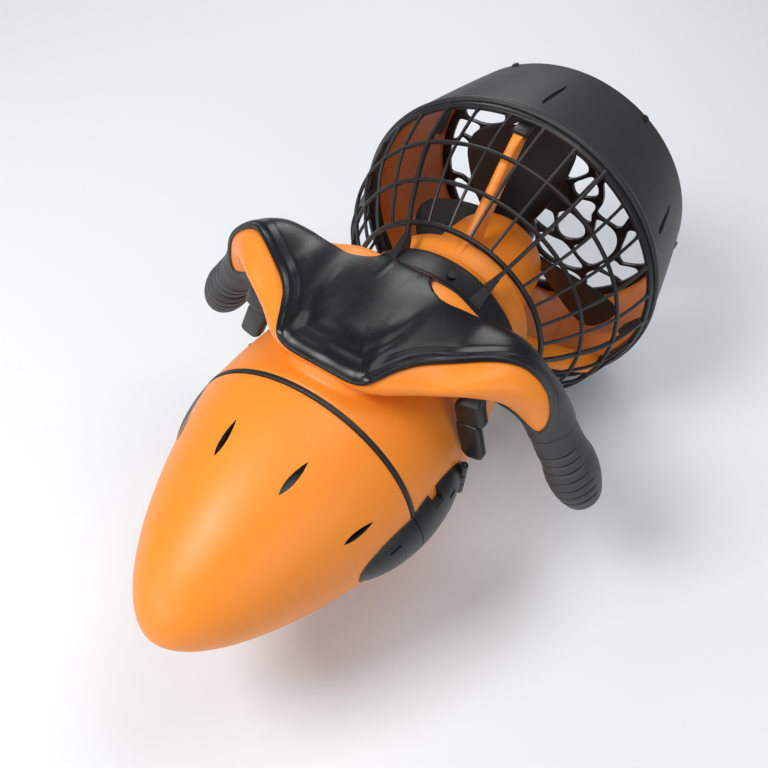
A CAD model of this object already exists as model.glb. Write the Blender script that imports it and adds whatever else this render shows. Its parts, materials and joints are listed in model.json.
# A hand-held water scooter: a closed nose and hull, a winged handlebar with two drooping grips
# on a pedestal, and a ducted propeller behind three struts.
# Stations are in millimetres: Y runs along the thrust axis from the nose (-467) through the
# duct's front (0) to its tail (110), and Z is up. The scene is in metres, with the tail at Y = 0.
# Names with "right" lie at +X. Angles about the thrust axis start at +Z and turn towards +X.
import json
import math
from contextlib import contextmanager

import bmesh
import bpy
import numpy as np
from mathutils import Euler, Matrix, Vector


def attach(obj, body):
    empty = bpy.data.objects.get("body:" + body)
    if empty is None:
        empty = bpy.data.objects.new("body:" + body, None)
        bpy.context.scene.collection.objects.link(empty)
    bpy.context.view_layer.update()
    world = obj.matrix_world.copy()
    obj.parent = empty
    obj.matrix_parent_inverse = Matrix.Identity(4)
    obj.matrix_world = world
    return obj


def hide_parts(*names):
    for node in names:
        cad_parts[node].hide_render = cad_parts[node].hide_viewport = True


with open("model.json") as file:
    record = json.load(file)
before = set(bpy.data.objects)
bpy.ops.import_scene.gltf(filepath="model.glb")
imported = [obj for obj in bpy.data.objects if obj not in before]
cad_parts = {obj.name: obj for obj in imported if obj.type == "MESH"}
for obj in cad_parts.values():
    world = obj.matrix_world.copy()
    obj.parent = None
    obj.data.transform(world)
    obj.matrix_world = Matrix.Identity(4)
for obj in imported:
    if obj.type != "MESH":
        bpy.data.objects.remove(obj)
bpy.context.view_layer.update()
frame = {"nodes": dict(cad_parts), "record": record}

TAIL_Y = 110.0
SIDES = ((1, "right"), (-1, "left"))


# ------------------------------------------------------------------ meshes
def to_metres(points):
    """Station coordinates in mm to scene coordinates in m."""
    points = np.array(points, float).reshape(-1, 3)
    points[:, 1] -= TAIL_Y
    return points / 1000.0


@contextmanager
def editing(mesh):
    """The mesh as a bmesh, written back afterwards."""
    bm = bmesh.new()
    bm.from_mesh(mesh)
    yield bm
    bm.to_mesh(mesh)
    bm.free()
    mesh.update()


def mesh_object(name, geometry, mat, body="hull", sub=(), merge=0.0):
    """A smooth object from (points in mm, faces); points closer than merge are joined."""
    verts, faces = geometry
    mesh = bpy.data.meshes.new(name)
    mesh.from_pydata([tuple(p) for p in to_metres(verts)], [], faces)
    mesh.validate(verbose=False)
    mesh.update()
    obj = bpy.data.objects.new(name, mesh)
    bpy.context.scene.collection.objects.link(obj)
    if merge:
        with editing(mesh) as bm:
            bmesh.ops.remove_doubles(bm, verts=bm.verts, dist=merge / 1000.0)
            bmesh.ops.dissolve_degenerate(bm, dist=merge / 1000.0 * 0.5, edges=bm.edges)
            bmesh.ops.recalc_face_normals(bm, faces=bm.faces)
    shade_smooth(obj)
    mesh.materials.append(mat)
    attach(obj, body)
    if sub:
        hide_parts(*sub)
    return obj


def shade_smooth(obj):
    polygons = obj.data.polygons
    polygons.foreach_set("use_smooth", [True] * len(polygons))


def outward(obj):
    """Faces of a closed mesh point out of it."""
    with editing(obj.data) as bm:
        bmesh.ops.recalc_face_normals(bm, faces=bm.faces)


def outward_open(obj, axis_z=0.005):
    """Faces of an open tube point away from its axis, which lies at height axis_z (m)."""
    facing = sum(p.area * (p.normal.x * p.center.x + p.normal.z * (p.center.z - axis_z))
                 for p in obj.data.polygons)
    if facing < 0:
        obj.data.flip_normals()


def crisp(obj, angle):
    """Smooth shading that breaks at edges sharper than angle (degrees)."""
    limit = math.radians(angle)
    with editing(obj.data) as bm:
        for e in bm.edges:
            e.smooth = len(e.link_faces) == 2 and e.calc_face_angle(0.0) < limit
        for f in bm.faces:
            f.smooth = True


def solid(name, geometry, mat, angle, body="hull", sub=(), merge=0.0):
    """A closed object, shaded smooth up to angle."""
    obj = mesh_object(name, geometry, mat, body, sub, merge)
    outward(obj)
    crisp(obj, angle)
    return obj


def bevel(obj, width, angle, segments=2):
    modifier = obj.modifiers.new("bevel", "BEVEL")
    modifier.width = width / 1000.0
    modifier.segments = segments
    modifier.limit_method = "ANGLE"
    modifier.angle_limit = math.radians(angle)
    modifier.use_clamp_overlap = True


def solidify(obj, thickness):
    modifier = obj.modifiers.new("wall", "SOLIDIFY")
    modifier.thickness = thickness / 1000.0
    modifier.offset = -1.0
    return modifier


def carve(obj, tools):
    """Cuts closed geometries out of the object and applies the result."""
    cutters = []
    for verts, faces in tools:
        mesh = bpy.data.meshes.new("tool")
        mesh.from_pydata([tuple(p) for p in to_metres(verts)], [], faces)
        cutter = bpy.data.objects.new("tool", mesh)
        bpy.context.scene.collection.objects.link(cutter)
        outward(cutter)
        modifier = obj.modifiers.new("cut", "BOOLEAN")
        modifier.operation = "DIFFERENCE"
        modifier.solver = "EXACT"
        modifier.object = cutter
        cutters.append(cutter)
    depsgraph = bpy.context.evaluated_depsgraph_get()
    depsgraph.update()
    result = bpy.data.meshes.new_from_object(obj.evaluated_get(depsgraph))
    obj.modifiers.clear()
    materials = list(obj.data.materials)
    obj.data = result
    if not result.materials:
        for mat in materials:
            result.materials.append(mat)
    for cutter in cutters:
        bpy.data.objects.remove(cutter)
    outward(obj)


# ------------------------------------------------------------------ geometry: (points, faces)
def quads(rows, cols, close_rows=False, close_cols=False):
    """Faces of a lattice of points stored row by row."""
    faces = []
    for i in range(rows if close_rows else rows - 1):
        for j in range(cols if close_cols else cols - 1):
            here, below = i * cols, ((i + 1) % rows) * cols
            k = (j + 1) % cols
            faces.append((here + j, below + j, below + k, here + k))
    return faces


def loft(rings):
    """A closed skin over rings of points, capped at both ends."""
    rings = np.asarray(rings, float)
    n, k = rings.shape[:2]
    caps = [tuple(range(k)), tuple(range(n * k - 1, (n - 1) * k - 1, -1))]
    return rings.reshape(-1, 3), quads(n, k, close_cols=True) + caps


def prism_faces(n):
    """Faces between two n-sided outlines."""
    walls = [(i, n + i, n + (i + 1) % n, (i + 1) % n) for i in range(n)]
    return [tuple(range(n)), tuple(range(2 * n - 1, n - 1, -1))] + walls


def slab_faces(rows, cols, side_rows, end_rows):
    """Faces over an outer and an inner lattice, closed along the sides and ends."""
    inner = rows * cols
    faces = quads(rows, cols)
    faces += [tuple(k + inner for k in q[::-1]) for q in quads(rows, cols)]
    for i in side_rows:
        for a in (i * cols, i * cols + cols - 1):
            faces.append((a, a + cols, inner + a + cols, inner + a))
    for j in range(cols - 1):
        for i in end_rows:
            a = i * cols + j
            faces.append((a, a + 1, inner + a + 1, inner + a))
    return faces


def box(x0, x1, y0, y1, z0, z1, tilt=0.0):
    """A box, tilted about the X direction by degrees round its own centre."""
    verts = np.array([(x, y, z) for x in (x0, x1) for y in (y0, y1) for z in (z0, z1)], float)
    if tilt:
        centre = verts.mean(0)
        turn = np.array(Euler((math.radians(tilt), 0, 0)).to_matrix(), float)
        verts = (verts - centre) @ turn.T + centre
    faces = [(0, 1, 3, 2), (4, 6, 7, 5), (0, 4, 5, 1), (2, 3, 7, 6), (0, 2, 6, 4), (1, 5, 7, 3)]
    return verts, faces


def joined(parts):
    """Several geometries as one."""
    verts, faces, start = [], [], 0
    for part_verts, part_faces in parts:
        verts.append(part_verts)
        faces += [tuple(i + start for i in f) for f in part_faces]
        start += len(part_verts)
    return np.concatenate(verts), faces


def mirror(geometry, side):
    """Geometry as it is for side 1, mirrored to -X for side -1."""
    return geometry[0] * np.array([side, 1, 1]), geometry[1]


def spin(geometry, degrees):
    """Turns geometry about the thrust axis; its top moves towards +X."""
    t = math.radians(degrees)
    x, y, z = np.asarray(geometry[0], float).T
    turned_x = x * math.cos(t) + z * math.sin(t)
    turned_z = -x * math.sin(t) + z * math.cos(t)
    return np.stack([turned_x, y, turned_z], -1), geometry[1]


def circle(n):
    return np.linspace(0, 2 * math.pi, n, endpoint=False)


def mid_circle(n):
    """n angles round a circle, starting half a step in."""
    return 2 * math.pi * (np.arange(n) + 0.5) / n


def turned(profile, n):
    """Body of revolution about the thrust axis from a closed (y, radius) outline."""
    a = circle(n)
    rings = [np.stack([r * np.sin(a), np.full(n, y), r * np.cos(a)], -1) for y, r in profile]
    return np.concatenate(rings), quads(len(profile), n, True, True)


def lathe(name, profile, mat, n, angle, sub=()):
    return solid(name, turned(profile, n), mat, angle, sub=sub, merge=0.004)


# ------------------------------------------------------------------ curves
def unit(v):
    v = np.asarray(v, float)
    return v / np.linalg.norm(v)


def signed_power(x, exponent):
    return np.copysign(np.abs(x) ** exponent, x)


def bell(distance, width):
    return np.exp(-(distance / width) ** 2)


def smoothstep(x, a, b):
    """0 at a to 1 at b."""
    t = np.clip((np.asarray(x, float) - a) / (b - a), 0, 1)
    return t * t * (3 - 2 * t)


def fillet(points, steps):
    """Closed outline of (a, b) or (a, b, radius) points, its corners rounded in steps."""
    corners = [np.array(p[:2], float) for p in points]
    out = []
    for i, corner in enumerate(corners):
        radius = points[i][2] if len(points[i]) > 2 else 0.0
        if radius <= 0:
            out.append(corner)
            continue
        back, ahead = corners[i - 1] - corner, corners[(i + 1) % len(corners)] - corner
        back_length, ahead_length = np.linalg.norm(back), np.linalg.norm(ahead)
        back, ahead = back / back_length, ahead / ahead_length
        half = 0.5 * math.acos(max(-1, min(1, float(back @ ahead))))
        cut = min(radius / math.tan(half), 0.45 * back_length, 0.45 * ahead_length)
        start, end = corner + back * cut, corner + ahead * cut
        for k in range(steps + 1):
            t = k / steps
            out.append((1 - t) ** 2 * start + 2 * t * (1 - t) * corner + t * t * end)
    return np.array(out)


def refine(outline, step):
    """Adds points so that no piece of the closed outline is longer than step."""
    out = []
    for a, b in zip(outline, np.roll(outline, -1, 0)):
        k = max(1, int(math.ceil(np.linalg.norm(b - a) / step)))
        out += [a + (b - a) * j / k for j in range(k)]
    return np.array(out)


def curve(stations, values, x):
    """Cubic through values at stations, per column; x gives one row each."""
    h = np.diff(stations)[:, None]
    d = np.diff(values, axis=0) / h
    m = np.zeros_like(values)
    m[1:-1] = (d[:-1] * h[1:] + d[1:] * h[:-1]) / (h[1:] + h[:-1])
    m[0], m[-1] = d[0], d[-1]
    x = np.atleast_1d(np.asarray(x, float))
    i = np.clip(np.searchsorted(stations, x, side="right") - 1, 0, len(stations) - 2)
    step = h[i]
    t = ((x - stations[i]) / step[:, 0])[:, None]
    return ((2 * t**3 - 3 * t**2 + 1) * values[i] + (t**3 - 2 * t**2 + t) * step * m[i]
            + (-2 * t**3 + 3 * t**2) * values[i + 1] + (t**3 - t**2) * step * m[i + 1])


def table_at(table, x):
    """Rows of a table, whose first column is the station, at stations x."""
    return curve(table[:, 0], table[:, 1:], x)


# ------------------------------------------------------------------ shader nodes
def node(tree, kind, **settings):
    made = tree.nodes.new(kind)
    for key, value in settings.items():
        setattr(made, key, value)
    return made


def feed(tree, socket, value):
    """Links an output to the socket, or sets the socket's value."""
    if isinstance(value, bpy.types.NodeSocket):
        tree.links.new(value, socket)
    else:
        socket.default_value = value


def new_material(name):
    """A material with a Principled shader: (material, tree, shader)."""
    mat = bpy.data.materials.new(name)
    mat.use_nodes = True
    tree = mat.node_tree
    tree.nodes.clear()
    output = node(tree, "ShaderNodeOutputMaterial")
    shader = node(tree, "ShaderNodeBsdfPrincipled")
    tree.links.new(shader.outputs["BSDF"], output.inputs["Surface"])
    return mat, tree, shader


def object_coords(tree):
    return node(tree, "ShaderNodeTexCoord").outputs["Object"]


def noise(tree, coords, scale, detail, roughness, distortion=0.0, stretch=None):
    if stretch:
        mapping = node(tree, "ShaderNodeMapping")
        mapping.inputs["Scale"].default_value = stretch
        tree.links.new(coords, mapping.inputs["Vector"])
        coords = mapping.outputs["Vector"]
    texture = node(tree, "ShaderNodeTexNoise")
    for key, value in (("Scale", scale), ("Detail", detail), ("Roughness", roughness),
                       ("Distortion", distortion), ("Vector", coords)):
        feed(tree, texture.inputs[key], value)
    return texture.outputs["Fac"]


def ramp(tree, factor, *stops):
    """Grey colour ramp; each stop is (position, level)."""
    made = node(tree, "ShaderNodeValToRGB")
    elements = made.color_ramp.elements
    while len(elements) > 1:
        elements.remove(elements[-1])
    for i, (position, level) in enumerate(stops):
        if i:
            element = elements.new(position)
        else:
            element = elements[0]
            element.position = position
        element.color = (level, level, level, 1.0)
    tree.links.new(factor, made.inputs["Fac"])
    return made.outputs["Color"]


def maths(tree, operation, *values, clamp=False):
    made = node(tree, "ShaderNodeMath", operation=operation, use_clamp=clamp)
    for socket, value in zip(made.inputs, values):
        feed(tree, socket, value)
    return made.outputs[0]


def mix(tree, factor, a, b, kind="RGBA"):
    """Blend of a and b; kind is RGBA or FLOAT."""
    made = node(tree, "ShaderNodeMix", data_type=kind)
    first, result = (6, 2) if kind == "RGBA" else (2, 0)
    for socket, value in ((0, factor), (first, a), (first + 1, b)):
        feed(tree, made.inputs[socket], value)
    return made.outputs[result]


def bump(tree, height, strength, depth, under=None):
    """Bump of depth in mm, on top of the normal under."""
    made = node(tree, "ShaderNodeBump")
    made.inputs["Strength"].default_value = strength
    made.inputs["Distance"].default_value = depth / 1000.0
    tree.links.new(height, made.inputs["Height"])
    if under is not None:
        tree.links.new(under, made.inputs["Normal"])
    return made.outputs["Normal"]


# ------------------------------------------------------------------ materials
def rgba(rgb):
    return tuple(rgb) + (1.0,)


def plastic(name, base, dark, roughness, grain, grain_strength, mottling=0.35, worn=None,
            wear=0.0, coat=0.0, specular=0.5, leather=0.0, scratch=0.12, subsurface=0.0):
    """Moulded plastic or rubber: fine grain, slow colour drift, edge wear and hairline scuffs."""
    mat, tree, shader = new_material(name)
    coords = object_coords(tree)
    big = noise(tree, coords, scale=9.0, detail=4.0, roughness=0.6)
    mid = noise(tree, coords, scale=60.0, detail=4.0, roughness=0.6)
    fine = noise(tree, coords, scale=grain, detail=2.0, roughness=0.6)
    colour = mix(tree, ramp(tree, big, (0.3, 0.0), (0.72, mottling)), rgba(base), rgba(dark))
    colour = mix(tree, ramp(tree, mid, (0.35, 0.0), (0.75, mottling * 0.35)), colour, rgba(dark))
    if worn is not None:
        # lighter colour along raised edges, broken up by noise
        geometry = node(tree, "ShaderNodeNewGeometry")
        edge = ramp(tree, geometry.outputs["Pointiness"], (0.515, 0.0), (0.60, 1.0))
        patches = ramp(tree, noise(tree, coords, scale=220.0, detail=5.0, roughness=0.7),
                       (0.42, 0.0), (0.62, 1.0))
        edge = maths(tree, "MULTIPLY", edge, patches)
        edge = maths(tree, "MULTIPLY", edge, wear, clamp=True)
        colour = mix(tree, edge, colour, rgba(worn))
    feed(tree, shader.inputs["Base Color"], colour)
    streaks = noise(tree, coords, scale=26.0, detail=8.0, roughness=0.75, distortion=1.5,
                    stretch=(1.0, 14.0, 1.0))
    scuffs = ramp(tree, streaks, (0.60, 0.0), (0.66, 1.0), (0.70, 0.0))
    gloss = maths(tree, "ADD", roughness - 0.05, maths(tree, "MULTIPLY", mid, 0.12))
    gloss = maths(tree, "ADD", gloss, maths(tree, "MULTIPLY", scuffs, scratch))
    feed(tree, shader.inputs["Roughness"], gloss)
    shader.inputs["Specular IOR Level"].default_value = specular
    if coat:
        shader.inputs["Coat Weight"].default_value = coat
        shader.inputs["Coat Roughness"].default_value = 0.22
    if subsurface:
        shader.inputs["Subsurface Weight"].default_value = subsurface
        shader.inputs["Subsurface Radius"].default_value = (1.0, 0.35, 0.1)
        shader.inputs["Subsurface Scale"].default_value = 0.0025
    normal = bump(tree, fine, strength=grain_strength, depth=0.12)
    if leather:
        cells = node(tree, "ShaderNodeTexVoronoi", feature="DISTANCE_TO_EDGE")
        cells.inputs["Scale"].default_value = 900.0
        tree.links.new(coords, cells.inputs["Vector"])
        creases = ramp(tree, cells.outputs["Distance"], (0.0, 0.0), (0.12, 1.0))
        normal = bump(tree, creases, strength=leather, depth=0.10, under=normal)
    normal = bump(tree, big, strength=0.05, depth=1.2, under=normal)
    normal = bump(tree, scuffs, strength=0.06, depth=0.05, under=normal)
    feed(tree, shader.inputs["Normal"], normal)
    return mat


def metal(name, base, roughness):
    """Brushed metal with darker cloudy spots."""
    mat, tree, shader = new_material(name)
    coords = object_coords(tree)
    brushed = noise(tree, coords, scale=220.0, detail=5.0, roughness=0.7,
                    stretch=(1.0, 1.0, 30.0))
    big = noise(tree, coords, scale=40.0, detail=4.0, roughness=0.55)
    spots = ramp(tree, big, (0.35, 0.0), (0.7, 0.15))
    colour = mix(tree, spots, rgba(base), rgba(c * 0.55 for c in base))
    feed(tree, shader.inputs["Base Color"], colour)
    shader.inputs["Metallic"].default_value = 1.0
    gloss = maths(tree, "ADD", roughness - 0.08, maths(tree, "MULTIPLY", brushed, 0.18))
    feed(tree, shader.inputs["Roughness"], gloss)
    feed(tree, shader.inputs["Normal"], bump(tree, brushed, strength=0.12, depth=0.05))
    return mat


def webbing(name):
    """Woven strap: two crossed sets of bands."""
    mat, tree, shader = new_material(name)
    coords = object_coords(tree)
    bands = []
    for direction in "XY":
        wave = node(tree, "ShaderNodeTexWave", wave_type="BANDS", bands_direction=direction)
        wave.inputs["Scale"].default_value = 420.0
        tree.links.new(coords, wave.inputs["Vector"])
        bands.append(wave.outputs["Fac"])
    weave = maths(tree, "MULTIPLY", *bands)
    colour = mix(tree, weave, rgba((0.010, 0.010, 0.010)), rgba((0.045, 0.045, 0.046)))
    feed(tree, shader.inputs["Base Color"], colour)
    shader.inputs["Roughness"].default_value = 0.8
    shader.inputs["Sheen Weight"].default_value = 0.3
    feed(tree, shader.inputs["Normal"], bump(tree, weave, strength=0.8, depth=0.3))
    return mat


def matt_sleeves(mat):
    """Blends the rubber to a matter, greyer look along the arms, by distance from the middle."""
    tree = mat.node_tree
    shader = next(n for n in tree.nodes if n.type == "BSDF_PRINCIPLED")
    split = node(tree, "ShaderNodeSeparateXYZ")
    tree.links.new(object_coords(tree), split.inputs[0])
    distance = maths(tree, "ABSOLUTE", split.outputs["X"])
    blend = node(tree, "ShaderNodeMapRange", interpolation_type="SMOOTHSTEP")
    blend.inputs["From Min"].default_value = 0.106
    blend.inputs["From Max"].default_value = 0.134
    tree.links.new(distance, blend.inputs["Value"])
    for key, sleeve, kind in (("Base Color", rgba((0.040, 0.037, 0.039)), "RGBA"),
                              ("Roughness", 0.48, "FLOAT"),
                              ("Specular IOR Level", 0.45, "FLOAT")):
        socket = shader.inputs[key]
        saddle = socket.links[0].from_socket if socket.is_linked else socket.default_value
        feed(tree, socket, mix(tree, blend.outputs["Result"], saddle, sleeve, kind))


ORANGE = plastic("orange_shell", base=(0.88, 0.262, 0.022), dark=(0.80, 0.205, 0.013),
                 roughness=0.40, grain=1300, grain_strength=0.22, mottling=0.30,
                 worn=(0.95, 0.42, 0.10), wear=0.25, specular=0.42, subsurface=0.04)
DUCT_ORANGE = plastic("orange_duct", base=(0.74, 0.20, 0.018), dark=(0.60, 0.14, 0.012),
                      roughness=0.45, grain=1300, grain_strength=0.22, mottling=0.4)
BLACK = plastic("black_shell", base=(0.027, 0.025, 0.026), dark=(0.018, 0.0165, 0.017),
                roughness=0.44, grain=1700, grain_strength=0.35, mottling=0.5,
                worn=(0.10, 0.095, 0.095), wear=0.4, specular=0.42)
GUARD = plastic("black_guard", base=(0.013, 0.012, 0.013), dark=(0.008, 0.0075, 0.008),
                roughness=0.36, grain=1500, grain_strength=0.2, mottling=0.4,
                worn=(0.06, 0.056, 0.056), wear=0.25, specular=0.42)
TRIM = plastic("black_trim", base=(0.014, 0.0135, 0.014), dark=(0.009, 0.0085, 0.009),
               roughness=0.34, grain=1500, grain_strength=0.25, mottling=0.5, specular=0.45)
RUBBER = plastic("saddle_rubber", base=(0.0075, 0.0075, 0.008), dark=(0.005, 0.005, 0.0055),
                 roughness=0.27, grain=1100, grain_strength=0.3, mottling=0.5,
                 worn=(0.02, 0.02, 0.021), wear=0.25, specular=0.30, leather=0.12, scratch=0.10)
matt_sleeves(RUBBER)
GRIP = plastic("grip_rubber", base=(0.046, 0.043, 0.045), dark=(0.032, 0.030, 0.031),
               roughness=0.50, grain=900, grain_strength=0.5, mottling=0.6,
               worn=(0.11, 0.105, 0.105), wear=0.4, specular=0.45, leather=0.2)
SEAL = plastic("seal_rubber", base=(0.010, 0.010, 0.010), dark=(0.006, 0.006, 0.006),
               roughness=0.42, grain=900, grain_strength=0.3, mottling=0.4)
GREY = plastic("grey_moulding", base=(0.42, 0.43, 0.43), dark=(0.34, 0.35, 0.35),
               roughness=0.5, grain=1200, grain_strength=0.3, mottling=0.5)
FILM = plastic("battery_film", base=(0.030, 0.085, 0.22), dark=(0.022, 0.062, 0.17),
               roughness=0.22, grain=300, grain_strength=0.5, mottling=0.5, coat=0.5)
MAGNET = plastic("magnet", base=(0.10, 0.10, 0.11), dark=(0.06, 0.06, 0.065),
                 roughness=0.55, grain=1400, grain_strength=0.6, mottling=0.6)
CABLE = plastic("cable_jacket", base=(0.014, 0.014, 0.014), dark=(0.009, 0.009, 0.009),
                roughness=0.5, grain=1200, grain_strength=0.3)
STEEL = metal("zinc_steel", base=(0.52, 0.53, 0.55), roughness=0.36)
STAINLESS = metal("stainless", base=(0.68, 0.68, 0.69), roughness=0.26)
ALLOY = metal("machined_alloy", base=(0.74, 0.74, 0.76), roughness=0.32)
WEB = webbing("webbing")

SLOT_MATERIAL = {
    "orange": ORANGE, "black_shell": BLACK, "black_trim": TRIM, "rubber": RUBBER, "seal": SEAL,
    "grey_plastic": GREY, "battery": FILM, "strap": WEB, "steel": STEEL, "stainless": STAINLESS,
    "alloy": ALLOY, "magnet": MAGNET, "cable": CABLE}
SLOT_OF = {mat.name: slot for slot, mat in SLOT_MATERIAL.items()}
SLOT_OF.update({DUCT_ORANGE.name: "orange", GUARD.name: "black_shell", GRIP.name: "rubber"})


def dress_cad_pieces():
    for subpart in frame["record"]["subparts"]:
        obj = frame["nodes"].get(subpart["node"])
        if obj is None:
            continue
        mat = SLOT_MATERIAL[subpart["material_slot"]]
        materials = obj.data.materials
        if materials:
            for i in range(len(materials)):
                materials[i] = mat
        else:
            materials.append(mat)


# ------------------------------------------------------------------ slotted shells
def lens_width(t, half_width, peak, rise, fall):
    """Half width of a slot at t (0 to 1 along it): widest at peak, closing at both ends."""
    width = half_width * max(0.0, 1 - (1 - min(1.0, t / peak)) ** 2) ** rise
    if t >= peak:
        width *= max(0.0, math.cos((t - peak) / (1 - peak) * math.pi / 2)) ** fall
    return width


def slotted(name, rows, slots, step, band, point, radius, width, mat, body="hull", sub=()):
    """An open tube with through slots, {angle: (y0, y1)}; columns follow the slot edges.

    band is the angle each side of a slot that its columns spread over, step the angle between
    the plain columns elsewhere.
    """
    angles = sorted(slots)
    columns = []          # (slot angle, code -5 to 5 across it) or (None, plain angle)
    for k, slot in enumerate(angles):
        columns += [(slot, code) for code in range(-5, 6)]
        following = angles[k + 1] if k + 1 < len(angles) else angles[0] + 360
        gap = following - slot - 2 * band
        count = max(1, int(round(gap / step)))
        columns += [(None, slot + band + gap * j / count) for j in range(1, count)]
    verts = []
    for y in rows:
        r = max(radius(y), 45.0)
        near, far = math.degrees(0.5 / r), math.degrees(1.6 / r)
        for slot, code in columns:
            angle = code
            if slot is not None:
                y0, y1 = slots[slot]
                t = (y - y0) / (y1 - y0)
                edge = math.degrees(max(width(t) if 0 <= t <= 1 else 0.0, 0.12) / r)
                offsets = (0.0, edge, edge + near, edge + far, 0.5 * (edge + far + band), band)
                angle = slot + math.copysign(1, code) * offsets[abs(code)]
            verts.append(point(y, math.radians(angle)))
    faces = []
    n = len(columns)
    for i in range(len(rows) - 1):
        low, high = min(rows[i], rows[i + 1]), max(rows[i], rows[i + 1])
        for j, (slot, code) in enumerate(columns):
            k = (j + 1) % n
            if slot is not None and code in (-1, 0):
                y0, y1 = slots[slot]
                if low >= y0 - 1e-6 and high <= y1 + 1e-6:
                    continue
            faces.append((i * n + j, (i + 1) * n + j, (i + 1) * n + k, i * n + k))
    obj = mesh_object(name, (verts, faces), mat, body, sub, merge=0.02)
    outward_open(obj)
    return obj


# ------------------------------------------------------------------ nose and its seal
SEAM_Y = -303.0           # between nose and hull
NOSE_LENGTH = 163.8
NOSE_RADIUS = 87.8
NOSE_OVAL = 1.06          # width over height
SEAM_AXIS_Z = 7.0
NOSE_RISE = 0.03          # the nose axis climbs towards the tip
NOSE_WALL = 3.5
TIP_RING_Y = -0.5725      # scene metres; only the open ring at the tip lies ahead of this

NOSE_ROWS = [-304.8, -305.05, -305.5, -306.2, -307.4, -309.4, -312.4, -316.5, -320.5, -324.5,
             -328.5, -331.5]
NOSE_ROWS += list(np.arange(-333.0, -367.51, -1.5)) + [-369.0, -371.5, -375.5, -380.5, -386.0]
NOSE_ROWS += list(np.linspace(-391, -440, 13))
NOSE_ROWS += [SEAM_Y - NOSE_LENGTH * t for t in (
    0.855, 0.875, 0.893, 0.91, 0.925, 0.939, 0.951, 0.962, 0.971, 0.979, 0.986, 0.992, 0.9965)]
NOSE_SLOTS = {a: (-367.5, -340.5) for a in (20, 160, 200, 340)}
NOSE_SLOTS.update({a: (-357.0, -333.0) for a in (62, 118, 242, 298)})

# (y, radius, corner radius): a low bead with a groove each side
SEAL_PROFILE = [(-304.7, 88.3), (-304.7, 92.6, 0.5), (-303.9, 93.5, 0.6), (-301.7, 93.5, 0.6),
                (-300.75, 92.6, 0.5), (-300.75, 88.3)]


def nose_radius(y):
    t = max((SEAM_Y - y) / NOSE_LENGTH, 0)
    return NOSE_RADIUS * max(0.0, 1.0 - t ** 1.19) ** 0.54


def nose_axis(y):
    return SEAM_AXIS_Z - NOSE_RISE * (y - SEAM_Y)


def nose_point(y, angle):
    """Nose surface, with a small round-over where it meets the seal."""
    r = nose_radius(y) - 1.1 * max(0.0, 1.0 - (SEAM_Y - y - 1.8) / 1.7) ** 2
    return NOSE_OVAL * r * math.sin(angle), y, r * math.cos(angle) + nose_axis(y)


def build_nose():
    nose = slotted("nose_body", NOSE_ROWS, NOSE_SLOTS, step=3.0, band=6.5, point=nose_point,
                   radius=nose_radius, width=lambda t: lens_width(t, 2.5, 0.42, 0.8, 0.85),
                   mat=ORANGE, body="nose", sub=("nose_cone",))
    tip_y = SEAM_Y - NOSE_LENGTH
    with editing(nose.data) as bm:
        ring = [e for e in bm.edges
                if e.is_boundary and all(v.co.y < TIP_RING_Y for v in e.verts)]
        tip = bm.verts.new(to_metres((0.0, tip_y, nose_axis(tip_y)))[0])
        for e in ring:
            bm.faces.new((e.verts[0], e.verts[1], tip))
        bmesh.ops.recalc_face_normals(bm, faces=bm.faces)
    outward_open(nose)
    shade_smooth(nose)
    wall = solidify(nose, NOSE_WALL)
    # black inside and on the cut edges
    nose.data.materials.append(BLACK)
    wall.material_offset_rim = 1
    wall.material_offset = 1
    bevel(nose, 0.45, angle=50)


def build_seal(n=240, flattening=5.0):
    a = circle(n)
    profile = fillet(SEAL_PROFILE, 3)
    rings = [np.stack([r * np.sin(a), np.full(n, y), (r - flattening) * np.cos(a) + SEAM_AXIS_Z],
                      -1) for y, r in profile]
    geometry = np.concatenate(rings), quads(len(profile), n, True, True)
    solid("seam_seal", geometry, SEAL, 50, body="nose", sub=("seal_ring",), merge=0.003)


# ------------------------------------------------------------------ hull with its pedestal
HULL_FRONT, HULL_BACK = -300.65, -152.2
HULL_WALL = 3.4
HULL_COLUMNS = 540
# y, half width, half height, axis height
HULL = np.array([(-301.5, 93.0, 88.0, 7.0), (-268.0, 93.0, 88.3, 6.3), (-230.0, 90.5, 86.5, 5.0),
                 (-190.0, 86.0, 83.3, 3.0), (-152.2, 79.5, 79.3, 0.6)])
# z, centre y, half width, half length, superellipse exponent
PEDESTAL = np.array([(62.0, -227, 50, 69, 2.6), (84.0, -229, 40, 66, 2.8),
                     (98.0, -231, 35, 57, 3.0), (110.0, -233, 34, 53, 3.0)])
PEDESTAL_TOP = 103.5
FOOT_BLUR = 2.3           # softens the foot of the pedestal into the hull


def hull_section(y, angles):
    """Radius of the hull oval at angles about its axis, and the axis height."""
    rx, rz, axis_z = table_at(HULL, y)[0]
    return 1.0 / np.sqrt((np.sin(angles) / rx) ** 2 + (np.cos(angles) / rz) ** 2), axis_z


def pedestal_lift(y, angles):
    """How far the pedestal stands out of the hull oval at station y."""
    base, axis_z = hull_section(y, angles)
    reach = np.arange(60.0, 112.0, 0.25)
    X = reach[None, :] * np.sin(angles)[:, None]
    Z = axis_z + reach[None, :] * np.cos(angles)[:, None]
    section = table_at(PEDESTAL, np.clip(Z.ravel(), 55, 110)).reshape(Z.shape + (4,))
    centre_y, half_width, half_length, power = np.moveaxis(section, -1, 0)
    oval = np.abs(X / half_width) ** power + np.abs((y - centre_y) / half_length) ** power
    inside = (oval < 1) & (Z < PEDESTAL_TOP) & (Z > 60) & (np.cos(angles)[:, None] > 0.2)
    outermost = reach.size - 1 - np.argmax(inside[:, ::-1], axis=1)
    return np.where(inside.any(1), np.maximum(reach[outermost] - base, 0), 0.0)


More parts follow.
